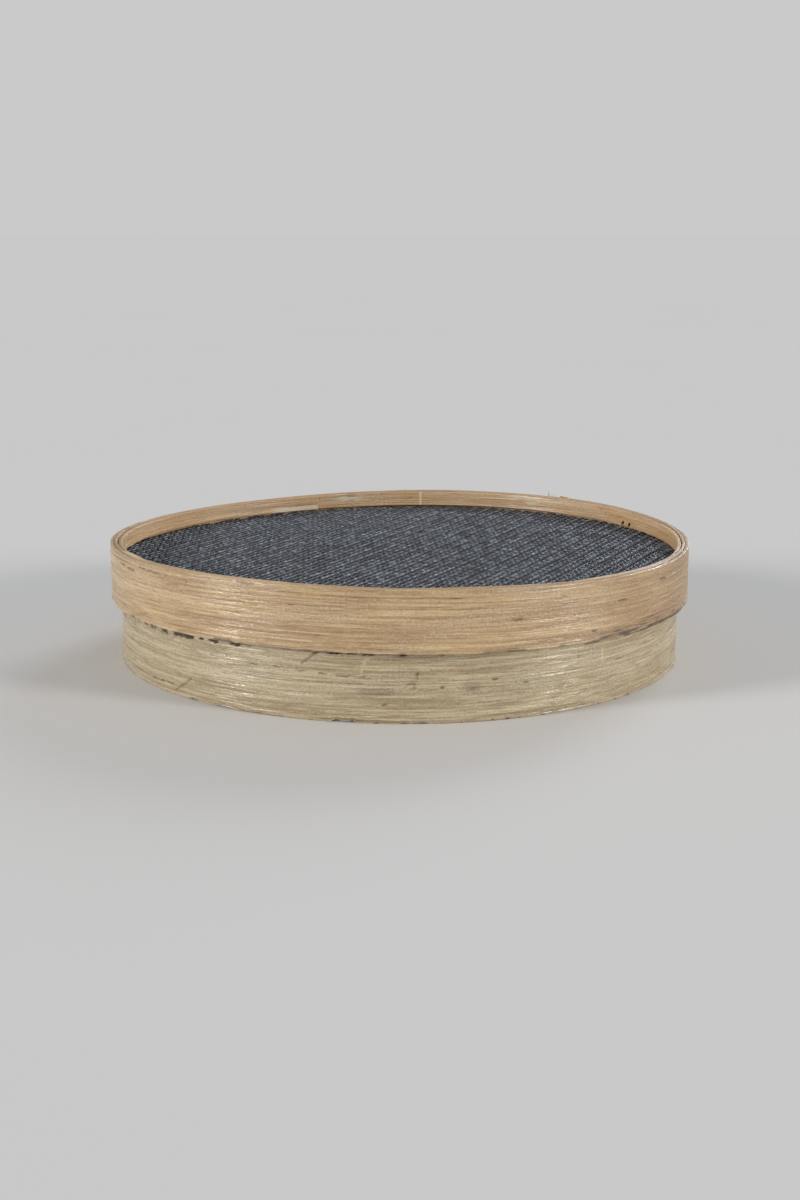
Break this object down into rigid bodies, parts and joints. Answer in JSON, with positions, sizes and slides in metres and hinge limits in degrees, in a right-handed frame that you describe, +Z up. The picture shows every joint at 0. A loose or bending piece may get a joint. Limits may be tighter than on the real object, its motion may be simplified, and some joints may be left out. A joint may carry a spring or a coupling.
{
  "type": "drum sieve",
  "caption": "Round drum sieve: woven wire cloth stretched over a bent bamboo hoop and gripped by a wider nested bamboo band.",
  "frame": {"origin": "on the ground under the centre of the drum, where its lower edge stands", "axes": "+Z up along the drum's axis, from the open lower edge to the rim above the wire cloth; +Y towards the back, where the hoop's laps are"},
  "size_m": [0.2, 0.2, 0.0407],
  "materials": {
    "body_bamboo": "dry split bamboo, greenish beige, satin",
    "band_bamboo": "dry split bamboo, warm tan, satin skin with fine fibre lines",
    "strip_bamboo": "dry split bamboo, pith side, matt",
    "peg_bamboo": "cut bamboo pegs, matt",
    "dark_wire": "dark grey steel wire with a dull shine",
    "brad_iron": "blackened iron"
  },
  "bodies": {
    "drum": {"body_hoop": "body_bamboo", "body_lap_pegs": "peg_bamboo"},
    "cloth": {"wire_cloth": "dark_wire"},
    "band": {"outer_hoop": "band_bamboo", "clamp_hoop": "strip_bamboo", "keeper_ring": "strip_bamboo", "outer_lap_pegs": "peg_bamboo", "keeper_brads": "brad_iron"}
  },
  "joints": [
    {"name": "cloth_lift", "type": "slide", "parent": "drum", "child": "cloth", "axis": [0, 0, 1], "range_m": [0, 0.014]},
    {"name": "band_lift", "type": "slide", "parent": "cloth", "child": "band", "axis": [0, 0, 1], "range_m": [0, 0.018]}
  ]
}
